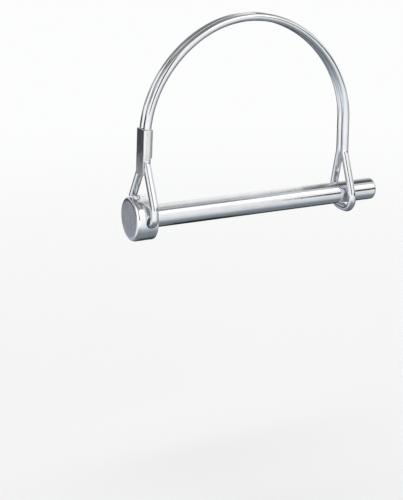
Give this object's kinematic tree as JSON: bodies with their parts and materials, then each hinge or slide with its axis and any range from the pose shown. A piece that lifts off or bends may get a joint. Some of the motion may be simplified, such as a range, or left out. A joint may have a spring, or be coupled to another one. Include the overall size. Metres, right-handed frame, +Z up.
{
  "type": "wire lock hitch pin",
  "caption": "Straight steel pin with a thick round head; a sprung double-wire arch pivots in the head and hooks round the shank near the tip to lock it in place.",
  "frame": {"origin": "on the pin's axis, at the inner face of the head, where the shank begins", "axes": "+X along the pin from the head to the tip, +Z up through the wire arch with the lock closed, Y across the pin along the cross hole in the head"},
  "size_m": [0.0782, 0.0176, 0.0601],
  "materials": {
    "pin_steel": "bright zinc plated turned steel",
    "spring_wire": "bright zinc plated spring wire",
    "ferrule_sheet": "zinc plated folded sheet steel"
  },
  "bodies": {
    "pin": {"pin": "pin_steel"},
    "bail": {"wire_near": "spring_wire", "ferrule": "ferrule_sheet"},
    "loop": {"wire_far": "spring_wire"}
  },
  "joints": [
    {"name": "bail_swing", "type": "hinge", "parent": "pin", "child": "bail", "pos_m": [-0.002, 0, -0.0004], "axis": [0, -1, 0], "range_deg": [-1.4, 250]},
    {"name": "loop_flex", "type": "slide", "parent": "bail", "child": "loop", "axis": [1, 0, 0], "range_m": [0, 0.013], "stiffness_N_per_m": 60, "deforming": ["wire_far"]}
  ]
}
